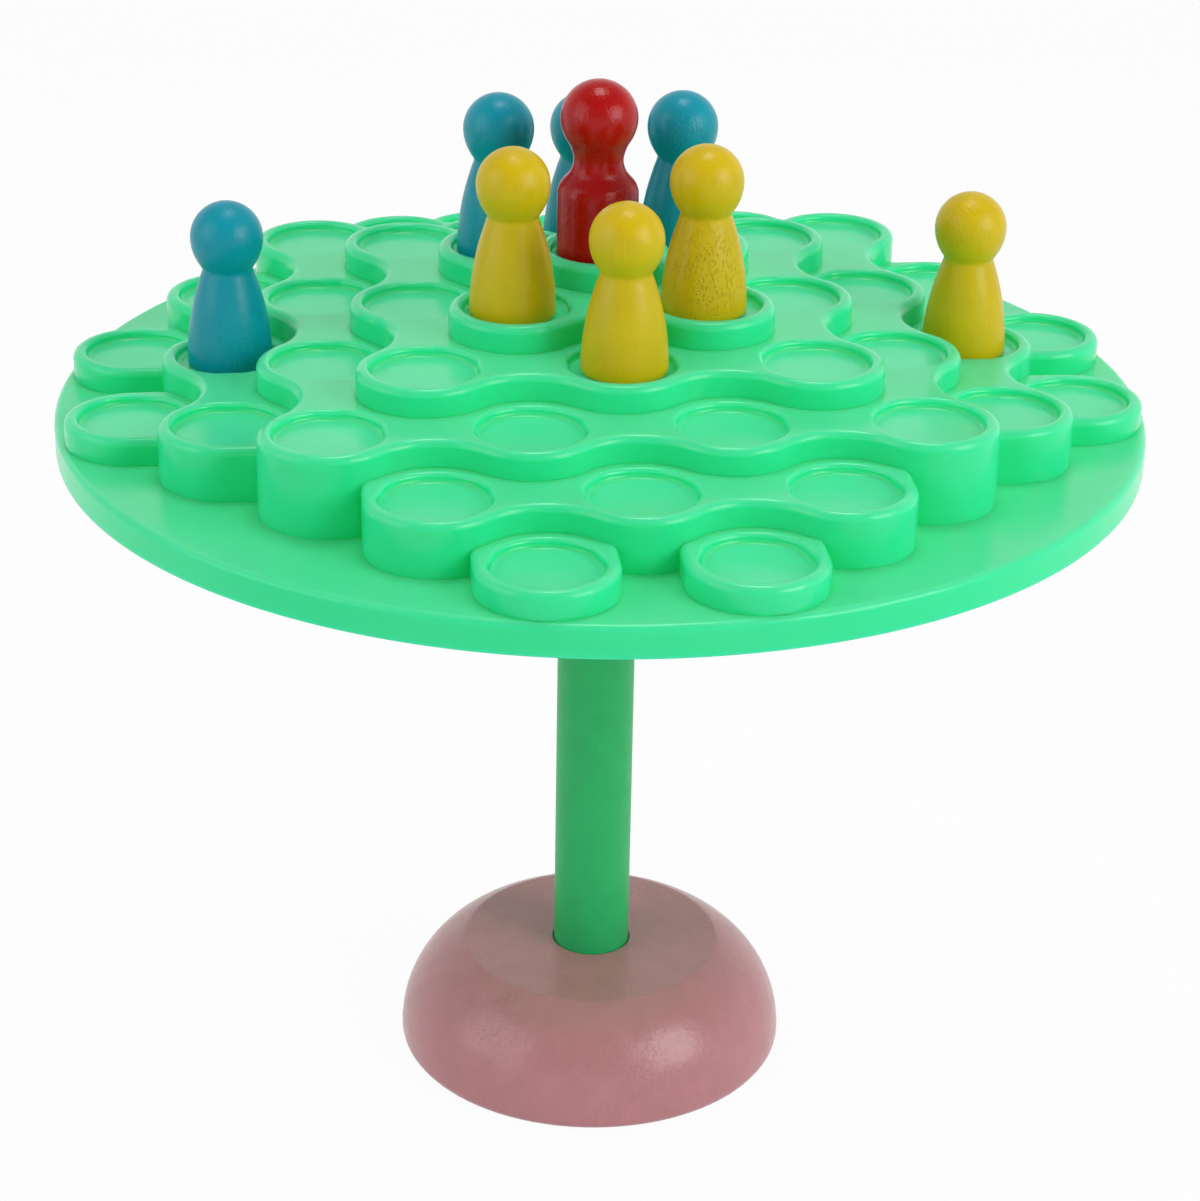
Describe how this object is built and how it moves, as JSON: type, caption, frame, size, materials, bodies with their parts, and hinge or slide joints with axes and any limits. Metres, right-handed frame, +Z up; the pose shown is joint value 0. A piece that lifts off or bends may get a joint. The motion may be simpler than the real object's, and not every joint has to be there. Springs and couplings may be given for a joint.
{
  "type": "balance game",
  "caption": "Round stepped tray that tips on a ball at the top of a post in a domed base, with loose pegs standing in its shallow seats.",
  "frame": {"origin": "centre of the base's flat underside", "axes": "+Z up along the post; +X and +Y along the tray's two crossed rows of seats, with -Y towards the viewer"},
  "size_m": [0.2346, 0.2346, 0.2311],
  "materials": {
    "pink_paint": "satin paint on turned wood",
    "green_paint": "satin paint on a wooden dowel",
    "bare_beech": "bare sanded wood",
    "green_plastic": "smooth moulded plastic",
    "red_paint": "gloss paint on turned wood",
    "yellow_paint": "gloss paint on turned wood",
    "blue_paint": "gloss paint on turned wood"
  },
  "bodies": {
    "base": {"base": "pink_paint"},
    "post": {"post": "green_paint"},
    "pivot_ball": {"pivot_ball": "bare_beech"},
    "tray": {"tray": "green_plastic"},
    "king": {"king": "red_paint"},
    "yellow_peg_1": {"yellow_peg_1": "yellow_paint"},
    "yellow_peg_2": {"yellow_peg_2": "yellow_paint"},
    "yellow_peg_3": {"yellow_peg_3": "yellow_paint"},
    "yellow_peg_4": {"yellow_peg_4": "yellow_paint"},
    "blue_peg_1": {"blue_peg_1": "blue_paint"},
    "blue_peg_2": {"blue_peg_2": "blue_paint"},
    "blue_peg_3": {"blue_peg_3": "blue_paint"},
    "blue_peg_4": {"blue_peg_4": "blue_paint"}
  },
  "joints": [
    {"name": "post_turn", "type": "hinge", "parent": "base", "child": "post", "pos_m": [0, 0, 0.0252], "axis": [0, 0, 1], "continuous": true},
    {"name": "tip_forward", "type": "hinge", "parent": "post", "child": "pivot_ball", "pos_m": [0, 0, 0.184], "axis": [1, 0, 0], "range_deg": [-10, 10]},
    {"name": "tip_sideways", "type": "hinge", "parent": "pivot_ball", "child": "tray", "pos_m": [0, 0, 0.184], "axis": [0, 1, 0], "range_deg": [-10, 10]},
    {"name": "king_lift", "type": "slide", "parent": "tray", "child": "king", "axis": [0, 0, 1], "range_m": [0, 0.03]},
    {"name": "yellow_peg_1_lift", "type": "slide", "parent": "tray", "child": "yellow_peg_1", "axis": [0, 0, 1], "range_m": [0, 0.03]},
    {"name": "yellow_peg_2_lift", "type": "slide", "parent": "tray", "child": "yellow_peg_2", "axis": [0, 0, 1], "range_m": [0, 0.03]},
    {"name": "yellow_peg_3_lift", "type": "slide", "parent": "tray", "child": "yellow_peg_3", "axis": [0, 0, 1], "range_m": [0, 0.03]},
    {"name": "yellow_peg_4_lift", "type": "slide", "parent": "tray", "child": "yellow_peg_4", "axis": [0, 0, 1], "range_m": [0, 0.03]},
    {"name": "blue_peg_1_lift", "type": "slide", "parent": "tray", "child": "blue_peg_1", "axis": [0, 0, 1], "range_m": [0, 0.03]},
    {"name": "blue_peg_2_lift", "type": "slide", "parent": "tray", "child": "blue_peg_2", "axis": [0, 0, 1], "range_m": [0, 0.03]},
    {"name": "blue_peg_3_lift", "type": "slide", "parent": "tray", "child": "blue_peg_3", "axis": [0, 0, 1], "range_m": [0, 0.03]},
    {"name": "blue_peg_4_lift", "type": "slide", "parent": "tray", "child": "blue_peg_4", "axis": [0, 0, 1], "range_m": [0, 0.03]}
  ]
}
